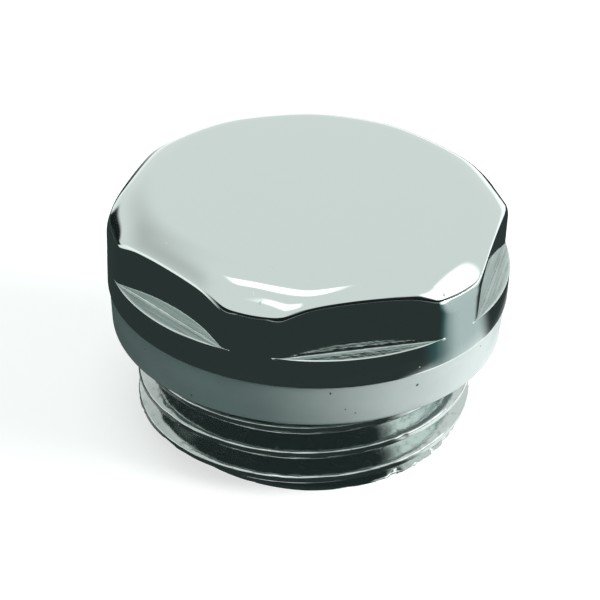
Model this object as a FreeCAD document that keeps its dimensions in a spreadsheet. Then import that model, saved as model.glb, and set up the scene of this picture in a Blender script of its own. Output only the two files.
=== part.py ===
"""A half inch radiator blanking plug: a turned and plated brass plug with six milled flats, and its sealing ring.

The plug stands on the end of its thread. The origin is at the middle of that end, and +Z runs up the plug's axis
to the crown of the head. One flat faces +X.
"""

import FreeCAD
import Part
import Sketcher

import math
import os

# Driving dimensions in millimetres, with plain counts where the name says so.
SIZES = {
    # Pipe thread, parallel, with a 55 degree form.
    "thread_dia": 20.955,
    "thread_pitch": 1.814,
    "thread_depth": 1.162,
    "thread_run": 5.2,
    "runout_height": 0.9,
    "thread_grooves": 3,
    "first_groove": 0.74,
    "end_chamfer": 0.7,
    # Neck between the thread and the head, where the ring sits.
    "neck_dia": 18.4,
    "neck_gap": 0.2,
    # Head.
    "head_dia": 24.5,
    "collar_height": 1.88,
    "across_flats": 22.7,
    "head_height": 6.3,
    "crown_flat_dia": 16.7,
    "crown_drop": 1.8,
    # Hollow underside, drilled from the thread's end.
    "hollow_dia": 14.0,
    "hollow_depth": 6.4,
    "drill_point_rise": 4.2,
    "hollow_mouth_chamfer": 0.4,
    # Sealing ring, which lies just inside the collar's edge and slips over the thread.
    "ring_thickness": 2.8,
    "ring_inset": 0.1,
    "ring_wall": 1.5725,
    "ring_taper": 0.15,
    "ring_foot_radius": 0.35,
}
FLAT_COUNT = 6
CREST_SHARE = 1.0 / 6.0  # share of the pitch that is left as the crest's land, and as the root's
OVERCUT = 1.0  # how far a cutter reaches past the surface that it cuts


class Size:
    """A number together with the spreadsheet expression that gives it."""

    def __init__(self, value, text):
        self.value = value
        self.text = text

    def _join(self, other, sign, value):
        text = other.text if isinstance(other, Size) else repr(float(other))
        return Size(value, f"({self.text} {sign} {text})")

    def __add__(self, other):
        return self._join(other, "+", self.value + number(other))

    def __sub__(self, other):
        return self._join(other, "-", self.value - number(other))

    def __mul__(self, other):
        return self._join(other, "*", self.value * number(other))

    def __truediv__(self, other):
        return self._join(other, "/", self.value / number(other))


def number(value):
    """The plain number of a size or of a number."""
    return value.value if isinstance(value, Size) else float(value)


def size(alias):
    """The named size from the sheet."""
    return Size(float(SIZES[alias]), f"Sizes.{alias}")


def make_sheet(doc):
    """Writes the driving dimensions to the document's spreadsheet."""
    sheet = doc.addObject("Spreadsheet::Sheet", "Sizes")
    for row, (alias, value) in enumerate(SIZES.items(), start=1):
        sheet.set(f"A{row}", alias)
        sheet.set(f"B{row}", str(value))
        sheet.setAlias(f"B{row}", alias)
    doc.recompute()


def origin_feature(body, role):
    """One of the body's own origin planes or axes."""
    return next(f for f in body.Origin.OriginFeatures if f.Role == role)


def new_sketch(body, name, plane):
    """An empty sketch on one of the body's origin planes."""
    sketch = body.newObject("Sketcher::SketchObject", name)
    sketch.AttachmentSupport = (origin_feature(body, plane), [""])
    sketch.MapMode = "FlatFace"
    return sketch


def bind(sketch, constraint, name, expression):
    """Adds a driving constraint and ties it to the sheet."""
    index = sketch.addConstraint(constraint)
    sketch.renameConstraint(index, name)
    sketch.setExpression(f"Constraints.{name}", expression)


def pin_point(sketch, edge, end, name, across, up):
    """Holds one end of an edge at a distance across and up from the sketch's origin."""
    for letter, kind, distance in (("x", "DistanceX", across), ("y", "DistanceY", up)):
        if number(distance) == 0.0:
            axis = -2 if letter == "x" else -1
            sketch.addConstraint(Sketcher.Constraint("PointOnObject", edge, end, axis))
        else:
            constraint = Sketcher.Constraint(kind, -1, 1, edge, end, number(distance))
            bind(sketch, constraint, f"{name}_{letter}", distance.text)


def outline(sketch, corners):
    """Draws a closed outline of straight lines through named corners given as (name, across, up)."""
    points = [FreeCAD.Vector(number(a), number(u), 0) for _, a, u in corners]
    count = len(corners)
    edges = [sketch.addGeometry(Part.LineSegment(points[i], points[(i + 1) % count])) for i in range(count)]
    for i in range(count):
        sketch.addConstraint(Sketcher.Constraint("Coincident", edges[i], 2, edges[(i + 1) % count], 1))
    for edge, (name, across, up) in zip(edges, corners):
        pin_point(sketch, edge, 1, name, across, up)
    return edges


def revolve(body, kind, name, sketch):
    """Turns a sketch a full turn about the plug's axis."""
    feature = body.newObject(kind, name)
    feature.Profile = (sketch, [""])
    feature.ReferenceAxis = (sketch, ["V_Axis"])
    feature.Angle = 360
    sketch.Visibility = False
    return feature


def make_levels():
    """Heights along the axis that several features share."""
    levels = {"neck_foot": size("thread_run") + size("runout_height")}
    levels["ring_foot"] = levels["neck_foot"] + size("neck_gap")
    levels["head_foot"] = levels["ring_foot"] + size("ring_thickness")
    levels["ledge"] = levels["head_foot"] + size("collar_height")
    levels["top"] = levels["head_foot"] + size("head_height")
    return levels


def turned_blank(body, levels):
    """The plug as it leaves the lathe: threaded shank, neck, round head and crowned top."""
    thread = size("thread_dia") / 2
    neck = size("neck_dia") / 2
    head = size("head_dia") / 2
    crown = size("crown_flat_dia") / 2
    zero = Size(0.0, "0")
    sketch = new_sketch(body, "blank_section", "XZ_Plane")
    corners = [
        ("foot_middle", zero, zero),
        ("foot", thread - size("end_chamfer"), zero),
        ("thread_start", thread, size("end_chamfer")),
        ("thread_end", thread, size("thread_run")),
        ("neck_start", neck, levels["neck_foot"]),
        ("neck_end", neck, levels["head_foot"]),
        ("collar_foot", head, levels["head_foot"]),
        ("brow", head, levels["top"] - size("crown_drop")),
        ("crown", crown, levels["top"]),
        ("crown_middle", zero, levels["top"]),
    ]
    edges = outline(sketch, corners)
    round_crown(sketch, edges, corners)
    return revolve(body, "PartDesign::Revolution", "blank", sketch)


def round_crown(sketch, edges, corners):
    """Replaces the straight brow-to-crown edge by an arc that leaves the flat top smoothly."""
    places = {name: (number(across), number(up)) for name, across, up in corners}
    names = [name for name, _, _ in corners]
    brow, crown = places["brow"], places["crown"]
    width, drop = brow[0] - crown[0], crown[1] - brow[1]
    radius = (width**2 + drop**2) / (2 * drop)
    middle = FreeCAD.Vector(crown[0], crown[1] - radius, 0)
    circle = Part.Circle(middle, FreeCAD.Vector(0, 0, 1), radius)
    start = math.atan2(brow[1] - middle.y, width)
    straight = edges[names.index("brow")]
    side = edges[names.index("collar_foot")]
    top = edges[names.index("crown")]
    sketch.setConstruction(straight, True)
    arc = sketch.addGeometry(Part.ArcOfCircle(circle, start, math.pi / 2))
    sketch.addConstraint(Sketcher.Constraint("Coincident", arc, 1, side, 2))
    sketch.addConstraint(Sketcher.Constraint("Tangent", arc, 2, top, 1))


def thread_grooves(doc, body):
    """Grooves of the thread's section, one at each pitch along the shank."""
    crest = size("thread_dia") / 2
    root = crest - size("thread_depth")
    land = size("thread_pitch") * CREST_SHARE
    middle = size("first_groove")
    sketch = new_sketch(body, "groove_section", "XZ_Plane")
    half_mouth = (size("thread_pitch") - land) / 2
    slope = (half_mouth - land / 2) / size("thread_depth")
    half_outer = half_mouth + slope * OVERCUT
    outline(
        sketch,
        [
            ("root_low", root, middle - land / 2),
            ("outer_low", crest + OVERCUT, middle - half_outer),
            ("outer_high", crest + OVERCUT, middle + half_outer),
            ("root_high", root, middle + land / 2),
        ],
    )
    groove = revolve(body, "PartDesign::Groove", "thread_groove", sketch)
    doc.recompute()
    pattern = body.newObject("PartDesign::LinearPattern", "thread_form")
    pattern.Originals = [groove]
    pattern.Direction = (sketch, ["V_Axis"])
    pattern.setExpression("Length", "Sizes.thread_pitch * (Sizes.thread_grooves - 1)")
    pattern.setExpression("Occurrences", "Sizes.thread_grooves")
    body.Tip = pattern
    doc.recompute()


def milled_flats(doc, body, levels):
    """Six spanner flats, cut down to a ledge on the round collar."""
    flat = size("across_flats") / 2
    outside = size("head_dia") / 2 + OVERCUT
    sketch = new_sketch(body, "flat_section", "XZ_Plane")
    outline(
        sketch,
        [
            ("ledge_inner", flat, levels["ledge"]),
            ("ledge_outer", outside, levels["ledge"]),
            ("above_outer", outside, levels["top"] + OVERCUT),
            ("above_inner", flat, levels["top"] + OVERCUT),
        ],
    )
    cut = body.newObject("PartDesign::Pocket", "spanner_flat")
    cut.Profile = (sketch, [""])
    cut.Midplane = True
    cut.setExpression("Length", "Sizes.head_dia * 2")
    doc.recompute()
    pattern = body.newObject("PartDesign::PolarPattern", "spanner_flats")
    pattern.Originals = [cut]
    pattern.Axis = (sketch, ["V_Axis"])
    pattern.Angle = 360
    pattern.Occurrences = FLAT_COUNT
    body.Tip = pattern
    doc.recompute()


def hollow_underside(doc, body):
    """Blind hole drilled up through the shank, with the drill's point as its roof and a chamfered mouth."""
    wall = size("hollow_dia") / 2
    chamfer = size("hollow_mouth_chamfer")
    depth = size("hollow_depth")
    zero = Size(0.0, "0")
    sketch = new_sketch(body, "hollow_section", "XZ_Plane")
    outline(
        sketch,
        [
            ("mouth_middle", zero, zero),
            ("mouth", wall + chamfer, zero),
            ("wall_start", wall, chamfer),
            ("wall_end", wall, depth),
            ("drill_point", zero, depth + size("drill_point_rise")),
        ],
    )
    revolve(body, "PartDesign::Groove", "hollow", sketch)
    doc.recompute()


def make_plug(doc, levels):
    """The plated plug, one turned and milled piece."""
    body = doc.addObject("PartDesign::Body", "plug_body")
    turned_blank(body, levels)
    doc.recompute()
    thread_grooves(doc, body)
    milled_flats(doc, body, levels)
    hollow_underside(doc, body)
    return body


def make_ring(doc, levels):
    """The sealing ring that sits round the neck, under the head."""
    body = doc.addObject("PartDesign::Body", "sealing_ring")
    top_edge = size("head_dia") / 2 - size("ring_inset")
    foot_edge = top_edge - size("ring_taper")
    hole = top_edge - size("ring_wall")
    sketch = new_sketch(body, "ring_section", "XZ_Plane")
    outline(
        sketch,
        [
            ("foot_inner", hole, levels["ring_foot"]),
            ("foot_outer", foot_edge, levels["ring_foot"]),
            ("top_outer", top_edge, levels["head_foot"]),
            ("top_inner", hole, levels["head_foot"]),
        ],
    )
    ring = revolve(body, "PartDesign::Revolution", "ring", sketch)
    doc.recompute()
    foot = foot_edge_name(ring.Shape, number(foot_edge), number(levels["ring_foot"]))
    rounding = body.newObject("PartDesign::Fillet", "foot_rounding")
    rounding.Base = (ring, [foot])
    rounding.setExpression("Radius", "Sizes.ring_foot_radius")
    doc.recompute()
    return body


def foot_edge_name(shape, radius, height):
    """Name of the circular edge with that radius at that height."""
    for index, edge in enumerate(shape.Edges, start=1):
        curve = edge.Curve
        if isinstance(curve, Part.Circle) and abs(curve.Radius - radius) < 1e-6 and abs(curve.Center.z - height) < 1e-6:
            return f"Edge{index}"
    raise RuntimeError(f"no circular edge of radius {radius} at height {height}")


def check(doc, bodies):
    """Stops if any feature failed or any sub-part isn't one valid solid."""
    for item in doc.Objects:
        if {"Invalid", "Error"} & set(item.State):
            raise RuntimeError(f"{item.Name} failed: {item.State}")
    for body in bodies:
        if body.Shape.isNull() or not body.Shape.isValid() or len(body.Shape.Solids) != 1:
            raise RuntimeError(f"{body.Label} is not one valid solid")


def main():
    """Builds the document and writes each sub-part to its STEP file."""
    doc = FreeCAD.newDocument("blanking_plug")
    make_sheet(doc)
    levels = make_levels()
    bodies = [make_plug(doc, levels), make_ring(doc, levels)]
    doc.recompute()
    check(doc, bodies)
    os.makedirs("parts", exist_ok=True)
    for body in bodies:
        body.Shape.exportStep(f"parts/{body.Label}.step")
        box = body.Shape.BoundBox
        print(f"{body.Label}: {body.Shape.Volume:.1f} mm3, z {box.ZMin:.3f} to {box.ZMax:.3f}, width {box.XLength:.3f}")


main()
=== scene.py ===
"""Looks of a radiator blanking plug: a chromed plug with spanner flats and a thread, and its sealing ring.

The plug's skin is one closed mesh, wrapped round the axis from a grid, with its rounded edges, helical
thread and hollow. The ring is turned from its section. Sizes are named in millimetres, in the CAD frame,
and become metres where a mesh, a lamp or the camera takes its place.
"""

import logging
import math
from dataclasses import dataclass, field
from enum import Enum

import bmesh
import bpy
import numpy as np
from mathutils import Matrix, Vector, noise


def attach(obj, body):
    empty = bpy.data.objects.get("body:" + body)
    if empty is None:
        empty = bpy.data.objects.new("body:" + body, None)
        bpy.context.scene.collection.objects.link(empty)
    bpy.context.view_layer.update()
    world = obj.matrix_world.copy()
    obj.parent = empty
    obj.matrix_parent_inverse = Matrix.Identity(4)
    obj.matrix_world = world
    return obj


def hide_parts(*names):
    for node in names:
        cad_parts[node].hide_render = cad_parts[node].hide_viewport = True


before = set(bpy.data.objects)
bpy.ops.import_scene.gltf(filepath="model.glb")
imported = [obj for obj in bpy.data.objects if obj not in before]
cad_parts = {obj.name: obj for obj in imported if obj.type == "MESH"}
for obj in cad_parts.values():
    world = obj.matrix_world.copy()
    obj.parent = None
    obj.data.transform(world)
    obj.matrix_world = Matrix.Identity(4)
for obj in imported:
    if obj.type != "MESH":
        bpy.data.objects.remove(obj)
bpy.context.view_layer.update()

log = logging.getLogger("blanking_plug")

Pair = tuple[float, float]
Triple = tuple[float, float, float]
Ring = tuple[np.ndarray, np.ndarray]  # radius and height at each column

MM = 0.001
FLAT_COUNT = 6
HALF_FLAT = math.pi / FLAT_COUNT  # half the angle that a flat takes up
FLAT_LINES = "flat_lines"
MERGE_GAP = 0.002  # millimetres, points closer than this are one
SLIVER = 0.001  # millimetres, edges shorter than this are dissolved
PHOTO_SIDE = 600  # pixels along each side of the photograph's frame
SENSOR = 36.0  # millimetres, the camera's sensor width


class Zone(Enum):
    """Stretches of the plug's skin, from the crown down and up into the hollow, that share a finish."""

    POLISHED = 0
    LEDGE = 1
    THREAD = 2
    HOLLOW = 3


def ease(share: np.ndarray) -> np.ndarray:
    """Smooths a share, so that it leaves 0 and reaches 1 gently."""
    return share * share * (3 - 2 * share)


def feed(
    tree: bpy.types.NodeTree, socket: bpy.types.NodeSocket, value: bpy.types.NodeSocket | float | tuple
) -> None:
    """Links a socket to another one, or sets its value.

    Args:
        tree: The node tree.
        socket: The input socket.
        value: An output socket, or the value to set.
    """
    if isinstance(value, bpy.types.NodeSocket):
        tree.links.new(value, socket)
    else:
        socket.default_value = value


def calculate(
    tree: bpy.types.NodeTree, operation: str, *terms: bpy.types.NodeSocket | float
) -> bpy.types.NodeSocket:
    """Adds a calculation.

    Args:
        tree: The node tree.
        operation: The Math node's operation.
        terms: Its terms, each a socket or a number.

    Returns:
        The socket that gives the result.
    """
    node = tree.nodes.new("ShaderNodeMath")
    node.operation = operation
    for socket, term in zip(node.inputs, terms):
        feed(tree, socket, term)
    return node.outputs["Value"]


def blend(
    tree: bpy.types.NodeTree,
    share: bpy.types.NodeSocket,
    first: bpy.types.NodeSocket | Triple,
    second: Triple,
) -> bpy.types.NodeSocket:
    """Blends two colours by a share.

    Args:
        tree: The node tree.
        share: The socket that gives the second colour's share.
        first: Colour, or the socket that gives it, where the share is 0.
        second: Colour where the share is 1.

    Returns:
        The socket that gives the colour.
    """
    node = tree.nodes.new("ShaderNodeMix")
    node.data_type = "RGBA"
    feed(tree, node.inputs["A"], (*first, 1.0) if isinstance(first, tuple) else first)
    feed(tree, node.inputs["B"], (*second, 1.0))
    feed(tree, node.inputs["Factor"], share)
    return node.outputs["Result"]


def shaded(colour: Triple, share: float) -> Triple:
    """A colour made darker by a share."""
    return tuple(c * share for c in colour)


@dataclass(frozen=True)
class Grain:
    """A noise pattern on a surface."""

    scale: Triple  # how many of the pattern's units a millimetre holds along each axis
    detail: float  # number of finer layers
    rough: float = 0.5  # strength of the finer layers
    lines: str | None = None  # UV map that it follows, or None for Object coordinates


@dataclass(frozen=True)
class Bump:
    """How strongly a pattern shows as relief, and its height in millimetres."""

    strength: float
    height: float


@dataclass(frozen=True)
class Finish:
    """A surface finish made of shader nodes."""

    name: str
    colour: Triple
    metallic: float
    roughness: float

    def start(self) -> tuple[bpy.types.Material, bpy.types.NodeTree, bpy.types.ShaderNode]:
        """Makes the material with the constant values set on its shader.

        Returns:
            The material, its node tree and its shader node.
        """
        material = bpy.data.materials.new(self.name)
        material.use_nodes = True
        tree = material.node_tree
        shader = tree.nodes["Principled BSDF"]
        shader.inputs["Base Color"].default_value = (*self.colour, 1.0)
        shader.inputs["Metallic"].default_value = self.metallic
        shader.inputs["Roughness"].default_value = self.roughness
        return material, tree, shader

    def pattern(self, tree: bpy.types.NodeTree, grain: Grain) -> bpy.types.NodeSocket:
        """Adds a noise pattern.

        Args:
            tree: The material's node tree.
            grain: The pattern's scale, layers and coordinates.

        Returns:
            The socket that gives the pattern's value.
        """
        if grain.lines is None:
            place = tree.nodes.new("ShaderNodeTexCoord").outputs["Object"]
        else:
            laid = tree.nodes.new("ShaderNodeUVMap")
            laid.uv_map = grain.lines
            place = laid.outputs["UV"]
        mapping = tree.nodes.new("ShaderNodeMapping")
        mapping.inputs["Scale"].default_value = tuple(s / MM for s in grain.scale)
        tree.links.new(place, mapping.inputs["Vector"])
        node = tree.nodes.new("ShaderNodeTexNoise")
        node.inputs["Scale"].default_value = 1.0
        node.inputs["Detail"].default_value = grain.detail
        node.inputs["Roughness"].default_value = grain.rough
        tree.links.new(mapping.outputs["Vector"], node.inputs["Vector"])
        return node.outputs["Fac"]

    def spread(
        self, tree: bpy.types.NodeTree, value: bpy.types.NodeSocket, read: Pair, given: Pair = (0.0, 1.0)
    ) -> bpy.types.NodeSocket:
        """Maps a value from one range to another, clamped.

        Args:
            tree: The material's node tree.
            value: The socket to map.
            read: The range that is read.
            given: The range that is given out.

        Returns:
            The socket that gives the mapped value.
        """
        node = tree.nodes.new("ShaderNodeMapRange")
        node.inputs["From Min"].default_value, node.inputs["From Max"].default_value = read
        node.inputs["To Min"].default_value, node.inputs["To Max"].default_value = given
        tree.links.new(value, node.inputs["Value"])
        return node.outputs["Result"]

    def emboss(
        self,
        tree: bpy.types.NodeTree,
        shader: bpy.types.ShaderNode,
        layers: list[tuple[bpy.types.NodeSocket, Bump]],
    ) -> None:
        """Chains bump patterns into the shader's normal.

        Args:
            tree: The material's node tree.
            shader: The shader whose normal is set.
            layers: Pattern socket and bump of each layer.
        """
        normal = None
        for pattern, bump in layers:
            node = tree.nodes.new("ShaderNodeBump")
            node.inputs["Strength"].default_value = bump.strength
            node.inputs["Distance"].default_value = bump.height * MM
            tree.links.new(pattern, node.inputs["Height"])
            if normal is not None:
                tree.links.new(normal, node.inputs["Normal"])
            normal = node.outputs["Normal"]
        tree.links.new(normal, shader.inputs["Normal"])


@dataclass(frozen=True)
class PolishedChrome(Finish):
    """Bright plate with a faint polishing wave, fine pits and a film that dulls it here and there."""

    film: Grain = Grain((0.16, 0.16, 0.16), 5.0, 0.6)
    film_read: Pair = (0.35, 0.7)
    film_dulls: Pair = (0.7, 1.9)  # times the roughness, where the film is thinnest and thickest
    pits: Grain = Grain((1.7, 1.7, 1.7), 2.0)
    pits_read: Pair = (0.74, 0.78)
    pit_roughness: float = 0.55
    pit_bump: Bump = Bump(0.25, 0.02)
    wave: Grain = Grain((0.22, 0.22, 0.22), 2.0, 0.4)
    wave_bump: Bump = Bump(0.35, 0.06)

    def material(self) -> bpy.types.Material:
        """Makes the material.

        Returns:
            The plate's material.
        """
        material, tree, shader = self.start()
        dulls = tuple(self.roughness * share for share in self.film_dulls)
        film = self.spread(tree, self.pattern(tree, self.film), self.film_read, dulls)
        pits = self.spread(tree, self.pattern(tree, self.pits), self.pits_read)
        dulled = calculate(tree, "MULTIPLY_ADD", pits, self.pit_roughness, film)
        feed(tree, shader.inputs["Roughness"], dulled)
        wave = self.pattern(tree, self.wave)
        self.emboss(tree, shader, [(wave, self.wave_bump), (pits, self.pit_bump)])
        return material


@dataclass(frozen=True)
class MilledLedge(Finish):
    """Plate over the lines and chatter marks that the cutter left on the ledges, with painted shade in the
    lines' grooves.
    """

    cutter: Grain = Grain((0.25, 7.0, 1.0), 3.0, 0.6, FLAT_LINES)
    cutter_read: Pair = (0.35, 0.65)
    # Share that darkens the colour in the grooves of the cutter's lines: painted shade.
    groove_painted_shade: float = 0.7
    cutter_bump: Bump = Bump(0.4, 0.04)
    chatter: Grain = Grain((2.6, 2.6, 2.6), 2.0)
    chatter_bump: Bump = Bump(0.6, 0.06)

    def material(self) -> bpy.types.Material:
        """Makes the material.

        Returns:
            The ledges' material.
        """
        material, tree, shader = self.start()
        lines = self.pattern(tree, self.cutter)
        chatter = self.pattern(tree, self.chatter)
        # The cutter's lines are real tool marks. Their colour is painted darker where the lines are low, in
        # the grooves of the relief, which is painted shade.
        marks = self.spread(tree, lines, self.cutter_read)
        colour = blend(tree, marks, shaded(self.colour, self.groove_painted_shade), self.colour)
        feed(tree, shader.inputs["Base Color"], colour)
        self.emboss(tree, shader, [(lines, self.cutter_bump), (chatter, self.chatter_bump)])
        return material


@dataclass(frozen=True)
class WornThread(Finish):
    """Plate on the thread, drawn along the turns by the die and scuffed here and there."""

    drawn: Grain = Grain((0.3, 0.3, 3.4), 3.0, 0.6)
    drawn_bump: Bump = Bump(0.3, 0.03)
    scuffs: Grain = Grain((1.3, 1.3, 2.4), 4.0, 0.7)
    scuffs_read: Pair = (0.55, 0.66)
    scuff_dulls: float = 2.4  # times the roughness
    scuff_shade: float = 0.8
    scuff_bump: Bump = Bump(0.12, 0.02)

    def material(self) -> bpy.types.Material:
        """Makes the material.

        Returns:
            The thread's material.
        """
        material, tree, shader = self.start()
        drawn = self.pattern(tree, self.drawn)
        scuffs = self.spread(tree, self.pattern(tree, self.scuffs), self.scuffs_read)
        dulls = (self.roughness, self.roughness * self.scuff_dulls)
        feed(tree, shader.inputs["Roughness"], self.spread(tree, scuffs, (0.0, 1.0), dulls))
        colour = blend(tree, scuffs, self.colour, shaded(self.colour, self.scuff_shade))
        feed(tree, shader.inputs["Base Color"], colour)
        self.emboss(tree, shader, [(drawn, self.drawn_bump), (scuffs, self.scuff_bump)])
        return material


@dataclass(frozen=True)
class MouldedPlastic(Finish):
    """Matte, slightly cloudy plastic with a few dark specks and the fine rings of its mould."""

    cloud: Grain = Grain((0.3, 0.3, 0.6), 3.0)
    cloud_read: Pair = (0.3, 0.7)
    cloud_shade: float = 0.88
    specks: Grain = Grain((2.6, 2.6, 2.6), 0.0)
    specks_read: Pair = (0.835, 0.85)
    speck_colour: Triple = (0.05, 0.06, 0.06)
    rings: Grain = Grain((0.15, 0.15, 5.0), 3.0)
    ring_bump: Bump = Bump(0.25, 0.03)
    cloudy_weight: float = 0.1
    cloudy_depth: Triple = (0.8, 0.9, 0.9)  # how deep each colour of light goes

    def material(self) -> bpy.types.Material:
        """Makes the material.

        Returns:
            The plastic's material.
        """
        material, tree, shader = self.start()
        cloud = self.spread(tree, self.pattern(tree, self.cloud), self.cloud_read)
        body = blend(tree, cloud, shaded(self.colour, self.cloud_shade), self.colour)
        specks = self.spread(tree, self.pattern(tree, self.specks), self.specks_read)
        feed(tree, shader.inputs["Base Color"], blend(tree, specks, body, self.speck_colour))
        self.emboss(tree, shader, [(self.pattern(tree, self.rings), self.ring_bump)])
        shader.inputs["Subsurface Weight"].default_value = self.cloudy_weight
        shader.inputs["Subsurface Radius"].default_value = tuple(depth * MM for depth in self.cloudy_depth)
        shader.inputs["Subsurface Scale"].default_value = 1.0
        return material


POLISHED_CHROME = PolishedChrome("polished_chrome", (0.70, 0.77, 0.745), 1.0, 0.05)
MILLED_LEDGE = MilledLedge("milled_ledge", (0.58, 0.66, 0.64), 1.0, 0.14)
WORN_THREAD = WornThread("worn_thread", (0.62, 0.68, 0.66), 1.0, 0.11)
DULL_HOLLOW = WornThread("dull_hollow", (0.62, 0.64, 0.61), 1.0, 0.26)
RING_PLASTIC = MouldedPlastic("ring_plastic", (0.50, 0.55, 0.54), 0.0, 0.36)


def deselect_all() -> None:
    """Clears the selection, which holds the CAD nodes after loading."""
    bpy.ops.object.select_all(action="DESELECT")


def take_new(name: str) -> bpy.types.Object:
    """Names the primitive that was just added and its mesh.

    Args:
        name: The name for both.

    Returns:
        The primitive's object.
    """
    piece = bpy.context.object
    piece.name = name
    piece.data.name = name
    return piece


def add_grid(name: str, places: np.ndarray) -> bpy.types.Object:
    """Adds a grid and puts its points in their places.

    Args:
        name: The object's name.
        places: Rows of places in the part's frame, in metres.

    Returns:
        The grid's object.
    """
    deselect_all()
    rows, columns = places.shape[:2]
    bpy.ops.mesh.primitive_grid_add(x_subdivisions=columns - 1, y_subdivisions=rows - 1, size=1.0)
    piece = take_new(name)
    piece.data.vertices.foreach_set("co", places.reshape(-1))
    return piece


def close_skin(piece: bpy.types.Object, smooth_angle: float) -> None:
    """Merges seams and poles, turns the faces outwards and shades the mesh.

    Args:
        piece: The mesh object to finish.
        smooth_angle: Edges sharper than this many radians stay crisp.
    """
    bpy.ops.object.mode_set(mode="EDIT")
    bpy.ops.mesh.select_all(action="SELECT")
    bpy.ops.mesh.remove_doubles(threshold=MERGE_GAP * MM)
    bpy.ops.mesh.dissolve_degenerate(threshold=SLIVER * MM)
    bpy.ops.mesh.normals_make_consistent(inside=False)
    bpy.ops.object.mode_set(mode="OBJECT")
    bpy.ops.object.shade_smooth_by_angle(angle=smooth_angle)
    piece.select_set(False)


@dataclass(frozen=True)
class Wear:
    """Nicks and dents in the thread's crests, by noise on its surface. Millimetres."""

    root: float = 9.4  # radius below which the thread is unworn
    root_ease: float = 0.5
    end_reach: float = 1.1  # height below which the nicks get deeper
    stretch: float = 1.6  # how much closer the marks lie along the axis than round it
    nick_grain: float = 1.7
    nick_start: float = 0.12
    nick_depth: float = 0.05
    end_depth: float = 0.42
    dent_grain: float = 0.55
    dent_start: float = 0.35
    dent_depth: float = 0.12
    dent_shift: Triple = (31.0, 7.0, 3.0)

    def depth(self, angle: float, radius: float, height: float) -> float:
        """Depth of the wear at a place on a crest.

        Args:
            angle: The place's angle round the axis.
            radius: The crest's radius.
            height: The place's height above the thread's end.

        Returns:
            Depth in millimetres.
        """
        near_end = max(0.0, 1.0 - height / self.end_reach)
        place = Vector((math.cos(angle), math.sin(angle), 0.0)) * radius
        place.z = height * self.stretch
        nick = max(0.0, noise.noise(place * self.nick_grain) - self.nick_start)
        dent = max(0.0, noise.noise(place * self.dent_grain + Vector(self.dent_shift)) - self.dent_start)
        return nick * (self.nick_depth + self.end_depth * near_end) + dent * self.dent_depth

    def worn(self, radii: np.ndarray, depths: np.ndarray) -> np.ndarray:
        """Radii with the wear taken off, easing out towards the thread's roots."""
        return radii - depths * np.clip((radii - self.root) / self.root_ease, 0.0, 1.0)


@dataclass
class Row:
    """One ring of the plug's skin: radius and height at every column, and the zone of the band below it."""

    radius: np.ndarray
    height: np.ndarray
    zone: Zone


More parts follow.
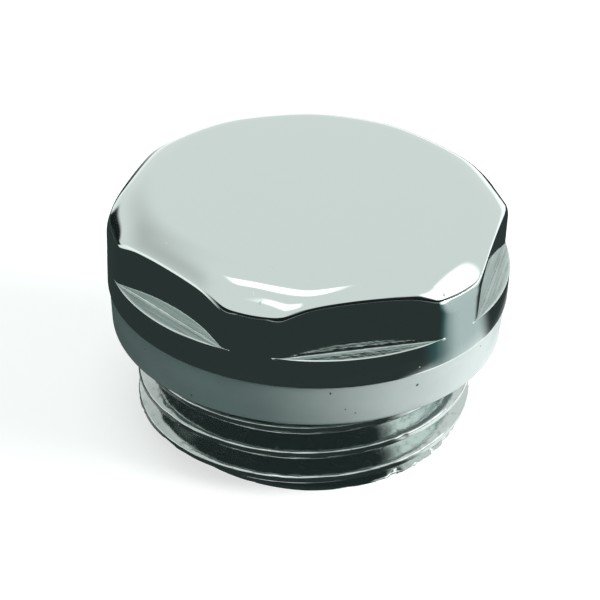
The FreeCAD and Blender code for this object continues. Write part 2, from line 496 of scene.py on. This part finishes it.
@dataclass
class Plug:
    """The chromed plug: crowned head with flats and ledges, collar, neck, thread and hollow. Millimetres."""

    # Head.
    top: float = 15.4
    ledge: float = 10.98
    head_foot: float = 9.1
    head_radius: float = 12.245
    flat_distance: float = 11.35
    # Polished crown: a nearly flat dome, then a rounding down to the flats' edges and the corners.
    dome_radius: float = 9.12
    dome_drop: float = 0.15
    crown_curve: float = 2.68  # radius of the rounding, across the middle of a flat
    edge_power: int = 6  # how late the crown's round rings turn six-sided
    corner_fall: float = 0.42  # how far the flat's top edge falls for each millimetre further from the axis
    corner_dip: float = 0.55  # how much lower the crown is worn at the middle of a corner
    dip_power: float = 2.5
    # Brow, the polished edge between the crown and the side: small on the flats and tall at the corners.
    flat_edge: float = 0.14
    corner_edge: float = 0.245
    corner_drop: float = 0.80
    corner_inset: float = 0.03
    corner_sag: float = 0.22
    corner_width: float = math.radians(17.0)  # from a corner's middle to the end of its rounding
    # Edge radii.
    upright_edge: float = 0.07
    ledge_edge: float = 0.10
    ledge_corner: float = 0.14
    ledge_ease: float = 3.0  # a ledge narrower than this many corner radii has smaller radii
    foot_edge: float = 0.07
    # Neck and thread.
    neck_radius: float = 9.2
    neck_foot: float = 6.1
    thread_run: float = 5.2
    crest_radius: float = 10.4775
    pitch: float = 1.814
    thread_depth: float = 1.162
    lands_in_pitch: int = 12  # how many times half a crest's land goes into the pitch
    flank_round: float = 0.28  # how much of a flank's shape is eased into its crest and root
    end_chamfer: float = 0.7
    crest_height: float = 3.11  # height of a crest where it faces the camera
    crest_azimuth: float = math.radians(-75.45)
    wear: Wear = Wear()
    # Hollow.
    hollow_radius: float = 7.0
    hollow_depth: float = 6.4
    drill_point_rise: float = 4.2
    mouth_chamfer: float = 0.4
    # Rings of the skin, as shares of each stretch or as numbers of bands.
    dome_shares: tuple[float, ...] = (0.0, 0.25, 0.5, 0.75, 0.92)
    crown_bands: int = 26
    brow_bands: int = 8
    edge_bands: int = 4
    side_shares: tuple[float, ...] = (0.03, 0.2, 0.5, 0.8, 0.97)
    ledge_shares: tuple[float, ...] = (0.1, 0.5, 0.9)
    collar_shares: tuple[float, ...] = (0.1, 0.35, 0.7, 0.92)
    underside_shares: tuple[float, ...] = (0.13, 0.57, 0.97)
    neck_shares: tuple[float, ...] = (0.0, 0.07, 0.5, 0.97)
    thread_step: float = 0.06
    end_shares: tuple[float, ...] = (0.08, 0.5, 0.92)
    wall_shares: tuple[float, ...] = (0.03, 0.25, 0.5, 0.75, 0.97, 1.0)
    point_shares: tuple[float, ...] = (0.03, 0.3, 0.65, 1.0)
    # Columns of the skin in each half of a flat, and on half the corner strip.
    columns: tuple[int, int] = (20, 8)
    smooth_angle: float = math.radians(75.0)
    angle: np.ndarray = field(default_factory=lambda: np.zeros(0))
    rows: list[Row] = field(default_factory=list)

    def azimuths(self) -> np.ndarray:
        """Column angles, closer together where a flat runs out into a corner.

        Returns:
            Angles in radians round the whole plug, first and last on the same line.
        """
        tip = math.acos(self.flat_distance / self.head_radius)
        on_flat = tip * np.sin(np.linspace(0.0, math.pi / 2, self.columns[0] + 1))[:-1]
        on_strip = np.linspace(tip, HALF_FLAT, self.columns[1] + 1)
        half = np.concatenate([on_flat, on_strip])
        flat = np.concatenate([half, 2 * HALF_FLAT - half[-2:0:-1]])
        turns = [flat + 2 * HALF_FLAT * k for k in range(FLAT_COUNT)]
        return np.concatenate(turns + [[2 * math.pi]])

    def from_flat(self) -> np.ndarray:
        """Angle of each column from the middle of its flat."""
        return np.mod(self.angle + HALF_FLAT, 2 * HALF_FLAT) - HALF_FLAT

    def near_corner(self) -> np.ndarray:
        """How near each column is to a corner's middle: 1 there, easing to 0 at the end of its rounding."""
        return ease(np.clip(1.0 - (HALF_FLAT - np.abs(self.from_flat())) / self.corner_width, 0.0, 1.0))

    def side_radius(self) -> np.ndarray:
        """Distance from the axis to the head's side above the ledge: a flat, or the turned corner strip.

        Returns:
            Distance in millimetres at each column, with the edge between flat and strip polished over.
        """
        flat = self.flat_distance / np.cos(self.from_flat())
        over = np.logaddexp(-flat / self.upright_edge, -self.head_radius / self.upright_edge)
        return np.minimum(-over * self.upright_edge, self.head_radius)

    def crown_point(self, share: np.ndarray | float) -> Ring:
        """A ring of the polished crown, round at the dome and six-sided at the flats' edges.

        Args:
            share: How far the ring lies from the dome, at 0, to the flats' edges, at 1.

        Returns:
            Radius and height in millimetres at each column.
        """
        middle = (self.head_radius + self.flat_distance) / 2
        swing = (self.head_radius - self.flat_distance) / 2
        wavy = middle - swing * np.cos(FLAT_COUNT * self.from_flat())
        side = wavy + (self.side_radius() - wavy) * share**self.edge_power
        reach = self.flat_distance - self.dome_radius
        out = self.crown_curve * np.sin(np.arcsin(reach / self.crown_curve) * share)
        bend = self.crown_curve - np.sqrt(self.crown_curve**2 - out**2)
        radius = self.dome_radius + (side - self.dome_radius) * out / reach
        fall = self.corner_fall * (side - self.flat_distance) * (out / reach) ** 2
        dip = self.corner_dip * self.near_corner() * (out / reach) ** self.dip_power
        return radius, self.top - self.dome_drop - bend - fall - dip

    def add(self, radius: np.ndarray | float, height: np.ndarray | float, zone: Zone) -> None:
        """Adds one ring of the skin.

        Args:
            radius: Radius at each column, or one for all.
            height: Height at each column, or one for all.
            zone: Finish zone of the band from this ring to the next.
        """
        full = np.ones_like(self.angle)
        self.rows.append(Row(radius * full, height * full, zone))

    def add_rounding(self, start: Ring, corner: Ring, end: Ring, zone: Zone, bands: int) -> None:
        """Adds rings that round a corner with a quadratic curve.

        Args:
            start: Radius and height where the rounding leaves the first face.
            corner: Radius and height of the sharp corner.
            end: Radius and height where it meets the second face.
            zone: Finish zone of the bands.
            bands: Number of bands.
        """
        for share in np.linspace(0.0, 1.0, bands + 1):
            weights = ((1 - share) ** 2, 2 * share * (1 - share), share**2)
            radius = sum(w * p[0] for w, p in zip(weights, (start, corner, end)))
            height = sum(w * p[1] for w, p in zip(weights, (start, corner, end)))
            self.add(radius, height, zone)

    def crown_rows(self) -> np.ndarray:
        """Rings of the dome, the crown's rounding and its brow.

        Returns:
            Height at each column where the brow meets the head's side.
        """
        for share in self.dome_shares:
            self.add(self.dome_radius * share, self.top - self.dome_drop * share**2, Zone.POLISHED)
        side = self.side_radius()
        near = self.near_corner()
        edge = self.flat_edge + (self.corner_edge - self.flat_edge) * near
        drop = self.flat_edge + (self.corner_drop - self.flat_edge) * near
        last = 1.0 - edge / (side - self.dome_radius)
        for share in np.linspace(0.0, 1.0, self.crown_bands + 1):
            self.add(*self.crown_point(last * share), Zone.POLISHED)
        brow = self.crown_point(1.0)[1]
        facet = (side - self.corner_inset * near, brow - self.corner_sag * near)
        self.add_rounding(self.crown_point(last), facet, (side, brow - drop), Zone.POLISHED, self.brow_bands)
        return brow - drop

    def side_rows(self, upper: np.ndarray) -> None:
        """Rings of the flats and corner strips, the ledges and the collar.

        Args:
            upper: Height at each column where the side starts.
        """
        side = self.side_radius()
        width = self.head_radius - side
        room = np.clip(width / (self.ledge_ease * self.ledge_corner), 0.0, 1.0)
        inner = self.ledge_corner * room
        outer = self.ledge_edge * room
        level = self.ledge * np.ones_like(side)
        lower = level + inner
        for share in self.side_shares:
            self.add(side, upper + (lower - upper) * share, Zone.POLISHED)
        self.add_rounding((side, lower), (side, level), (side + inner, level), Zone.LEDGE, self.edge_bands)
        for share in self.ledge_shares:
            self.add(side + inner + (width - inner - outer) * share, level, Zone.LEDGE)
        rim = self.head_radius * np.ones_like(side)
        start, end = (rim - outer, level), (rim, level - outer)
        self.add_rounding(start, (rim, level), end, Zone.POLISHED, self.edge_bands)
        for share in self.collar_shares:
            self.add(rim, self.ledge + (self.head_foot - self.ledge) * share, Zone.POLISHED)
        foot = self.head_foot * np.ones_like(side)
        start, end = (rim, foot + self.foot_edge), (rim - self.foot_edge, foot)
        self.add_rounding(start, (rim, foot), end, Zone.POLISHED, self.edge_bands)

    def thread_radius(self, height: float) -> np.ndarray:
        """Radius of the right-hand thread at a height, with its run-out, end chamfer and wear.

        Args:
            height: Height above the thread's end.

        Returns:
            Radius in millimetres at each column.
        """
        turn = (self.angle - self.crest_azimuth) / (2 * math.pi)
        turns_up = (height - self.crest_height) / self.pitch - turn
        from_crest = np.abs(np.mod(turns_up + 0.5, 1.0) - 0.5) * self.pitch
        land = self.pitch / self.lands_in_pitch
        flank = self.pitch / 2 - 2 * land
        rise = np.clip((land + flank - from_crest) / flank, 0.0, 1.0)
        rise = (1 - self.flank_round) * rise + self.flank_round * ease(rise)
        radius = self.crest_radius - self.thread_depth * (1 - rise)
        run_share = (height - self.thread_run) / (self.neck_foot - self.thread_run)
        run_out = self.crest_radius - (self.crest_radius - self.neck_radius) * run_share
        chamfer = self.crest_radius - self.end_chamfer + height
        radius = np.minimum(np.minimum(radius, run_out), chamfer)
        depths = np.array([self.wear.depth(angle, self.crest_radius, height) for angle in self.angle])
        return self.wear.worn(radius, depths)

    def shank_rows(self) -> None:
        """Rings of the underside, neck, thread and end."""
        for share in self.underside_shares:
            radius = self.head_radius + (self.neck_radius - self.head_radius) * share
            self.add(radius, self.head_foot, Zone.THREAD)
        for share in self.neck_shares:
            height = self.head_foot + (self.neck_foot - self.head_foot) * share
            self.add(self.neck_radius, height, Zone.THREAD)
        count = round(self.neck_foot / self.thread_step)
        for height in np.linspace(self.neck_foot, 0.0, count + 1):
            self.add(self.thread_radius(height), height, Zone.THREAD)
        end = self.thread_radius(0.0)
        mouth = self.hollow_radius + self.mouth_chamfer
        for share in self.end_shares:
            self.add(end + (mouth - end) * share, 0.0, Zone.THREAD)

    def hollow_rows(self) -> None:
        """Rings of the hollow, from its mouth to its drill point."""
        self.add(self.hollow_radius + self.mouth_chamfer, 0.0, Zone.HOLLOW)
        self.add(self.hollow_radius, self.mouth_chamfer, Zone.HOLLOW)
        wall = self.hollow_depth - self.mouth_chamfer
        for share in self.wall_shares:
            self.add(self.hollow_radius, self.mouth_chamfer + wall * share, Zone.HOLLOW)
        for share in self.point_shares:
            height = self.hollow_depth + self.drill_point_rise * share
            self.add(self.hollow_radius * (1.0 - share), height, Zone.HOLLOW)

    def build(self) -> bpy.types.Object:
        """Wraps a grid round the axis to make the plug's closed skin.

        Returns:
            The plug's mesh object.
        """
        self.angle = self.azimuths()
        self.side_rows(self.crown_rows())
        self.shank_rows()
        self.hollow_rows()
        columns = len(self.angle)
        places = np.empty((len(self.rows), columns, 3))
        for place, row in zip(places, self.rows):
            place[:, 0] = row.radius * np.cos(self.angle) * MM
            place[:, 1] = row.radius * np.sin(self.angle) * MM
            place[:, 2] = row.height * MM
        piece = add_grid("chromed_plug", places)
        band_zones = np.array([row.zone.value for row in self.rows[:-1]])
        piece.data.polygons.foreach_set("material_index", np.repeat(band_zones, columns - 1))
        self.lay_lines(piece)
        piece.data.update()
        close_skin(piece, self.smooth_angle)
        return piece

    def lay_lines(self, piece: bpy.types.Object) -> None:
        """Writes a UV map in metres that runs along each flat and out from it, for the cutter's marks.

        Args:
            piece: The plug's object, before its seam is merged.
        """
        radius = np.array([row.radius for row in self.rows])
        along = radius * np.sin(self.from_flat())
        out = radius * np.cos(self.from_flat())
        lines = np.stack([along, out], axis=-1).reshape(-1, 2) * MM
        corners = np.empty(len(piece.data.loops), dtype=np.int32)
        piece.data.loops.foreach_get("vertex_index", corners)
        layer = piece.data.uv_layers[0] if piece.data.uv_layers else piece.data.uv_layers.new()
        layer.name = FLAT_LINES
        layer.data.foreach_set("uv", lines[corners].reshape(-1))

    def dress(self, piece: bpy.types.Object) -> None:
        """Gives each zone its finish, in the zones' order, and puts the skin in the solid's place.

        Args:
            piece: The plug's object.
        """
        for finish in (POLISHED_CHROME, MILLED_LEDGE, WORN_THREAD, DULL_HOLLOW):
            piece.data.materials.append(finish.material())
        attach(piece, "root")
        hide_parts("plug_body")


@dataclass
class SealingRing:
    """The plastic ring round the neck, under the collar. Millimetres."""

    hole_radius: float = 10.5775
    top_radius: float = 12.15
    foot_radius: float = 12.0
    top: float = 9.1
    foot: float = 6.3
    foot_edge: float = 0.35
    top_edge: float = 0.08
    edge_bands: int = 6
    pick_gap: float = 0.01
    spin_steps: int = 192
    smooth_angle: float = math.radians(50.0)

    def build(self) -> bpy.types.Object:
        """Turns the ring's section about the axis.

        Returns:
            The ring's mesh object.
        """
        deselect_all()
        bpy.ops.mesh.primitive_plane_add(size=1.0, location=(0.0, 0.0, 0.0))
        piece = take_new("plastic_ring")
        corners = [
            (self.hole_radius, self.foot),
            (self.foot_radius, self.foot),
            (self.hole_radius, self.top),
            (self.top_radius, self.top),
        ]
        for vertex, (radius, height) in zip(piece.data.vertices, corners):
            vertex.co = (radius * MM, 0.0, height * MM)
        bpy.ops.object.mode_set(mode="EDIT")
        self.round_corner(piece, self.foot_radius, self.foot, self.foot_edge)
        self.round_corner(piece, self.top_radius, self.top, self.top_edge)
        bpy.ops.mesh.select_all(action="SELECT")
        bpy.ops.mesh.delete(type="ONLY_FACE")
        bpy.ops.mesh.select_all(action="SELECT")
        bpy.ops.mesh.spin(
            steps=self.spin_steps, angle=math.radians(360.0), center=(0.0, 0.0, 0.0), axis=(0.0, 0.0, 1.0)
        )
        bpy.ops.object.mode_set(mode="OBJECT")
        close_skin(piece, self.smooth_angle)
        return piece

    def round_corner(self, piece: bpy.types.Object, radius: float, height: float, edge: float) -> None:
        """Rounds one corner of the section.

        Args:
            piece: The ring's object, in edit mode.
            radius: The corner's distance from the axis.
            height: The corner's height.
            edge: Radius of the rounding.
        """
        bpy.ops.mesh.select_all(action="DESELECT")
        mesh = bmesh.from_edit_mesh(piece.data)
        corner = Vector((radius * MM, 0.0, height * MM))
        for vertex in mesh.verts:
            vertex.select = (vertex.co - corner).length < self.pick_gap * MM
        mesh.select_flush_mode()
        bmesh.update_edit_mesh(piece.data)
        bpy.ops.mesh.bevel(offset=edge * MM, segments=self.edge_bands, affect="VERTICES")

    def dress(self, piece: bpy.types.Object) -> None:
        """Gives the ring its plastic and puts it in the solid's place.

        Args:
            piece: The ring's object.
        """
        piece.data.materials.append(RING_PLASTIC.material())
        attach(piece, "root")
        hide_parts("sealing_ring")


class CardSight(Enum):
    """What a card shows itself to."""

    MIRRORS_ONLY = "mirrors"
    ALL_LIGHT = "all light"
    SOFT_LIGHT = "soft light"


@dataclass(frozen=True)
class Card:
    """A card with soft edges round the plug.

    The headings are degrees from the camera's side towards its right. The reach is a pair of elevations in
    degrees for a card that stands, or a pair of radii in millimetres for a card on the floor. The soft edges
    are as wide as the last pair says, in the same units.
    """

    headings: Pair
    reach: Pair
    soft: Pair
    colour: Triple
    cover: float = 1.0
    sight: CardSight = CardSight.MIRRORS_ONLY


@dataclass(frozen=True)
class Lamp:
    """A soft oval lamp that faces the plug's axis, placed in the camera's heading. Millimetres and watts."""

    place: Triple
    size: Pair
    power: float
    aim_height: float


# Colours that the cards show.
FLOOR_DARK = (0.030, 0.042, 0.041)
STRIP_TINT = (0.055, 0.165, 0.165)
SCREEN_DARK = (0.010, 0.014, 0.014)
EDGE_WHITE = (1.15, 1.2, 1.18)
LAMP_WHITE = (1.9, 1.9, 1.9)

# Cards on the floor, each a little higher than the one before.
FLOOR_CARDS = {
    "card_left": Card((-166.0, -25.0), (13.0, 90.0), (14.0, 4.0), FLOOR_DARK),
    "card_near": Card((-72.0, 56.0), (7.0, 27.0), (16.0, 2.0), FLOOR_DARK),
    "card_side": Card((-165.0, -50.0), (2.5, 20.0), (16.0, 2.0), FLOOR_DARK, 0.8),
    "card_front": Card((-72.0, 76.0), (22.0, 90.0), (16.0, 3.0), FLOOR_DARK),
    "card_far": Card((-72.0, 76.0), (60.0, 430.0), (16.0, 10.0), FLOOR_DARK),
    "card_strip": Card((52.0, 116.0), (20.0, 90.0), (12.0, 4.0), STRIP_TINT, 0.60),
    "card_right": Card((88.0, 190.0), (16.0, 60.0), (12.0, 6.0), FLOOR_DARK),
    "card_back": Card((-142.0, -112.0), (80.0, 430.0), (5.0, 10.0), FLOOR_DARK),
}

# Cards that stand round the plug, each a little nearer than the one before.
SCREENS = {
    "screen_front": Card((-80.0, 100.0), (-2.0, 25.0), (22.0, 5.0), SCREEN_DARK, 1.0, CardSight.ALL_LIGHT),
    "screen_right": Card((-6.0, 100.0), (18.0, 38.0), (20.0, 5.0), SCREEN_DARK, 1.0, CardSight.ALL_LIGHT),
    "flag_left": Card((-150.0, -58.0), (-2.0, 46.0), (20.0, 5.0), SCREEN_DARK, 1.0, CardSight.SOFT_LIGHT),
    "screen_left": Card((-170.0, -56.0), (8.0, 62.0), (44.0, 26.0), SCREEN_DARK, 0.30),
    "screen_corner": Card((-142.0, -112.0), (-4.0, 9.0), (5.0, 4.0), SCREEN_DARK),
    "card_edge": Card((-118.0, -62.0), (-6.0, 16.0), (14.0, 6.0), EDGE_WHITE),
    "card_corner": Card((58.0, 110.0), (13.0, 40.0), (10.0, 4.0), LAMP_WHITE),
    "card_second": Card((-38.0, 4.0), (48.0, 57.0), (8.0, 3.0), LAMP_WHITE),
}

LAMPS = {
    "overhead_lamp": Lamp((-26.0, -20.0, 320.0), (200.0, 160.0), 0.25, 10.0),
    "right_lamp": Lamp((290.0, -52.0, 105.0), (180.0, 95.0), 1.4, 8.0),
}


@dataclass
class Studio:
    """Pale floor, soft lamps, cards that the metal mirrors, and the camera. Millimetres."""

    view_azimuth: float = math.radians(14.546)
    elevation: float = math.radians(32.098)
    roll: float = math.radians(2.17)
    camera_place: Triple = (-0.424, -94.603, 66.591)
    camera_clip: Pair = (1.0, 20000.0)
    focal_pixels: float = 1800.0
    floor_radius: float = 1600.0
    floor_sides: int = 128
    floor_gap: float = 0.02
    floor_roughness: float = 0.9
    floor_specular: float = 0.1
    floor_colour: Triple = (0.60, 0.60, 0.60)
    floor_glow: float = 0.66
    floor_bounce: Triple = (0.27, 0.34, 0.33)
    world_colour: Triple = (0.83, 0.86, 0.85)
    world_light: Triple = (0.27, 0.36, 0.35)
    card_steps: int = 24  # in each half of a card, both ways
    card_lift: float = 0.05  # from one floor card to the next
    screen_radius: float = 420.0
    screen_step: float = 20.0  # from one standing card to the next
    # The long lamp that the crown mirrors as a streak. Its middle line and width are for a height of 1 over
    # the plug, to the camera's right and towards the camera. Its soft edges are shares of its length and
    # width. The base is the height on the plug that the streak's own height is counted from.
    streak: tuple[Pair, ...] = (
        (-0.49, 0.05),
        (-0.43, 0.14),
        (-0.26, 0.22),
        (-0.14, 0.26),
        (-0.01, 0.29),
        (0.11, 0.30),
        (0.20, 0.29),
        (0.26, 0.27),
        (0.31, 0.21),
    )
    streak_width: float = 0.27
    streak_soft: Pair = (0.16, 0.22)
    streak_height: float = 260.0
    streak_base: float = 15.0

    def turned(self, place: Triple) -> Vector:
        """A place given in the camera's heading, in millimetres, turned into the part's frame, in metres."""
        return Matrix.Rotation(self.view_azimuth, 4, "Z") @ (Vector(place) * MM)

    def camera(self) -> None:
        """Adds the camera at the photograph's viewing angle."""
        data = bpy.data.cameras.new("camera")
        data.sensor_width = SENSOR
        data.lens = self.focal_pixels / PHOTO_SIDE * SENSOR
        data.clip_start, data.clip_end = (distance * MM for distance in self.camera_clip)
        camera = bpy.data.objects.new("camera", data)
        bpy.context.scene.collection.objects.link(camera)
        tilt = Matrix.Rotation(math.radians(90.0) - self.elevation, 4, "X")
        heading = Matrix.Rotation(self.view_azimuth, 4, "Z")
        spin = Matrix.Rotation(self.roll, 4, "Z")
        camera.matrix_world = Matrix.Translation(self.turned(self.camera_place)) @ heading @ tilt @ spin
        bpy.context.scene.camera = camera

    def seen(self, tree: bpy.types.NodeTree) -> bpy.types.NodeSocket:
        """Adds the test for a ray from the camera, a mirror or glass.

        Args:
            tree: The material's or the world's node tree.

        Returns:
            The socket that is 1 for such a ray and 0 for the others.
        """
        sight = tree.nodes.new("ShaderNodeLightPath")
        seen = sight.outputs["Is Camera Ray"]
        for ray in ("Is Glossy Ray", "Is Transmission Ray"):
            seen = calculate(tree, "MAXIMUM", seen, sight.outputs[ray])
        return seen

    def floor(self) -> None:
        """Adds the floor: pale where it is seen or mirrored, and dimmer in the light that it throws back."""
        deselect_all()
        bpy.ops.mesh.primitive_circle_add(
            vertices=self.floor_sides,
            radius=self.floor_radius * MM,
            fill_type="NGON",
            location=(0.0, 0.0, -self.floor_gap * MM),
        )
        floor = take_new("floor")
        material = bpy.data.materials.new("pale_floor")
        material.use_nodes = True
        tree = material.node_tree
        shader = tree.nodes["Principled BSDF"]
        shader.inputs["Roughness"].default_value = self.floor_roughness
        shader.inputs["Specular IOR Level"].default_value = self.floor_specular
        seen = self.seen(tree)
        feed(tree, shader.inputs["Base Color"], blend(tree, seen, self.floor_bounce, self.floor_colour))
        shader.inputs["Emission Color"].default_value = (1.0, 1.0, 1.0, 1.0)
        feed(tree, shader.inputs["Emission Strength"], calculate(tree, "MULTIPLY", seen, self.floor_glow))
        floor.data.materials.append(material)

    def card(
        self,
        name: str,
        places: np.ndarray,
        covers: np.ndarray,
        colour: Triple,
        sight: CardSight = CardSight.MIRRORS_ONLY,
    ) -> None:
        """Adds a card that the camera doesn't see, clear where its cover is 0.

        Args:
            name: The card's name.
            places: Rows of places in the part's frame, in metres.
            covers: How much the card covers at each place, from 0 to 1.
            colour: The colour that it shows.
            sight: What it shows itself to.
        """
        piece = add_grid(name, places)
        cover = piece.data.attributes.new("cover", "FLOAT", "POINT")
        cover.data.foreach_set("value", covers.reshape(-1))
        piece.data.update()
        material = bpy.data.materials.new(name)
        material.use_nodes = True
        tree = material.node_tree
        tree.nodes.remove(tree.nodes["Principled BSDF"])
        glow = tree.nodes.new("ShaderNodeEmission")
        glow.inputs["Color"].default_value = (*colour, 1.0)
        clear = tree.nodes.new("ShaderNodeBsdfTransparent")
        share = tree.nodes.new("ShaderNodeAttribute")
        share.attribute_name = "cover"
        mix = tree.nodes.new("ShaderNodeMixShader")
        tree.links.new(share.outputs["Fac"], mix.inputs["Fac"])
        tree.links.new(clear.outputs["BSDF"], mix.inputs[1])
        tree.links.new(glow.outputs["Emission"], mix.inputs[2])
        tree.links.new(mix.outputs["Shader"], tree.nodes["Material Output"].inputs["Surface"])
        piece.data.materials.append(material)
        piece.visible_camera = False
        piece.visible_transmission = False
        piece.visible_glossy = sight is not CardSight.SOFT_LIGHT
        piece.visible_diffuse = sight is not CardSight.MIRRORS_ONLY
        piece.visible_shadow = sight is not CardSight.MIRRORS_ONLY

    def soft_steps(self, ends: Pair, soft: float) -> tuple[np.ndarray, np.ndarray]:
        """Steps across a card and how much it covers at each.

        Args:
            ends: Where the card starts and ends.
            soft: How wide its soft edges are.

        Returns:
            The steps, and the cover at each step.
        """
        steps = np.linspace(ends[0], ends[1], 2 * self.card_steps + 1)
        return steps, ease(np.clip(np.minimum(steps - ends[0], ends[1] - steps) / soft, 0.0, 1.0))

    def round_card(self, name: str, card: Card, rings: list[Pair], outward: np.ndarray) -> None:
        """Adds a card that lies or stands on rings round the plug.

        Args:
            name: The card's name.
            card: The card.
            rings: Radius and height of each row of the card, in metres.
            outward: How much the card covers at each row.
        """
        turns, across = self.soft_steps(card.headings, card.soft[0])
        turns = np.radians(turns - 90.0) + self.view_azimuth
        places = [
            [(radius * math.cos(turn), radius * math.sin(turn), height) for turn in turns]
            for radius, height in rings
        ]
        covers = outward[:, None] * across[None, :] * card.cover
        self.card(name, np.array(places), covers, card.colour, card.sight)

    def floor_card(self, name: str, card: Card, lift: float) -> None:
        """Adds a card just over the floor.

        Args:
            name: The card's name.
            card: The card.
            lift: Its height over the floor, in millimetres.
        """
        radii, outward = self.soft_steps(card.reach, card.soft[1])
        self.round_card(name, card, [(radius * MM, lift * MM) for radius in radii], outward)

    def screen(self, name: str, card: Card, radius: float) -> None:
        """Adds a card that stands round the plug.

        Args:
            name: The card's name.
            card: The card.
            radius: Its distance from the plug, in millimetres.
        """
        elevations, upward = self.soft_steps(card.reach, card.soft[1])
        rings = [(radius * MM * math.cos(up), radius * MM * math.sin(up)) for up in np.radians(elevations)]
        self.round_card(name, card, rings, upward)

    def streak_card(self) -> None:
        """Adds the long curved lamp over the plug that the crown mirrors."""
        line = np.array(self.streak)
        ends = np.linspace(0.0, 1.0, len(line))
        along, across = self.soft_steps((0.0, 1.0), self.streak_soft[0])
        out, width = self.soft_steps((-0.5, 0.5), self.streak_soft[1])
        right = np.interp(along, ends, line[:, 0]) * self.streak_height
        near = np.interp(along, ends, line[:, 1])
        height = self.streak_base + self.streak_height
        places = []
        for share in out:
            towards = -(near + share * self.streak_width) * self.streak_height
            places.append([tuple(self.turned((x, y, height))) for x, y in zip(right, towards)])
        self.card("streak_lamp", np.array(places), width[:, None] * across[None, :], LAMP_WHITE)

    def lamp(self, name: str, lamp: Lamp) -> None:
        """Adds a lamp, which mirrors don't show.

        Args:
            name: The lamp's name.
            lamp: Its place, size, power and aim.
        """
        data = bpy.data.lights.new(name, "AREA")
        data.shape = "ELLIPSE"
        data.size, data.size_y = (s * MM for s in lamp.size)
        data.energy = lamp.power
        light = bpy.data.objects.new(name, data)
        bpy.context.scene.collection.objects.link(light)
        light.location = self.turned(lamp.place)
        towards = Vector((0.0, 0.0, lamp.aim_height * MM)) - light.location
        light.rotation_mode = "QUATERNION"
        light.rotation_quaternion = towards.to_track_quat("-Z", "Y")
        light.visible_glossy = False

    def world(self) -> None:
        """Adds the even light all round, with a pale backdrop where it is seen or mirrored."""
        world = bpy.data.worlds.new("studio")
        bpy.context.scene.world = world
        world.use_nodes = True
        tree = world.node_tree
        background = tree.nodes["Background"]
        colour = blend(tree, self.seen(tree), self.world_light, self.world_colour)
        feed(tree, background.inputs["Color"], colour)
        background.inputs["Strength"].default_value = 1.0

    def build(self) -> None:
        """Sets up the floor, cards, lamps, world and camera."""
        self.floor()
        for index, (name, card) in enumerate(FLOOR_CARDS.items()):
            self.floor_card(name, card, self.card_lift * (1 + index))
        for index, (name, card) in enumerate(SCREENS.items()):
            self.screen(name, card, self.screen_radius - self.screen_step * index)
        self.streak_card()
        for name, lamp in LAMPS.items():
            self.lamp(name, lamp)
        self.world()
        self.camera()


def main() -> None:
    """Builds and dresses each piece, then the studio."""
    logging.basicConfig(level=logging.INFO)
    bpy.context.scene.view_settings.view_transform = "Standard"
    for assembly in (Plug(), SealingRing()):
        piece = assembly.build()
        assembly.dress(piece)
        log.info("%s: %d faces", piece.name, len(piece.data.polygons))
    Studio().build()


if __name__ == "__main__":
    main()
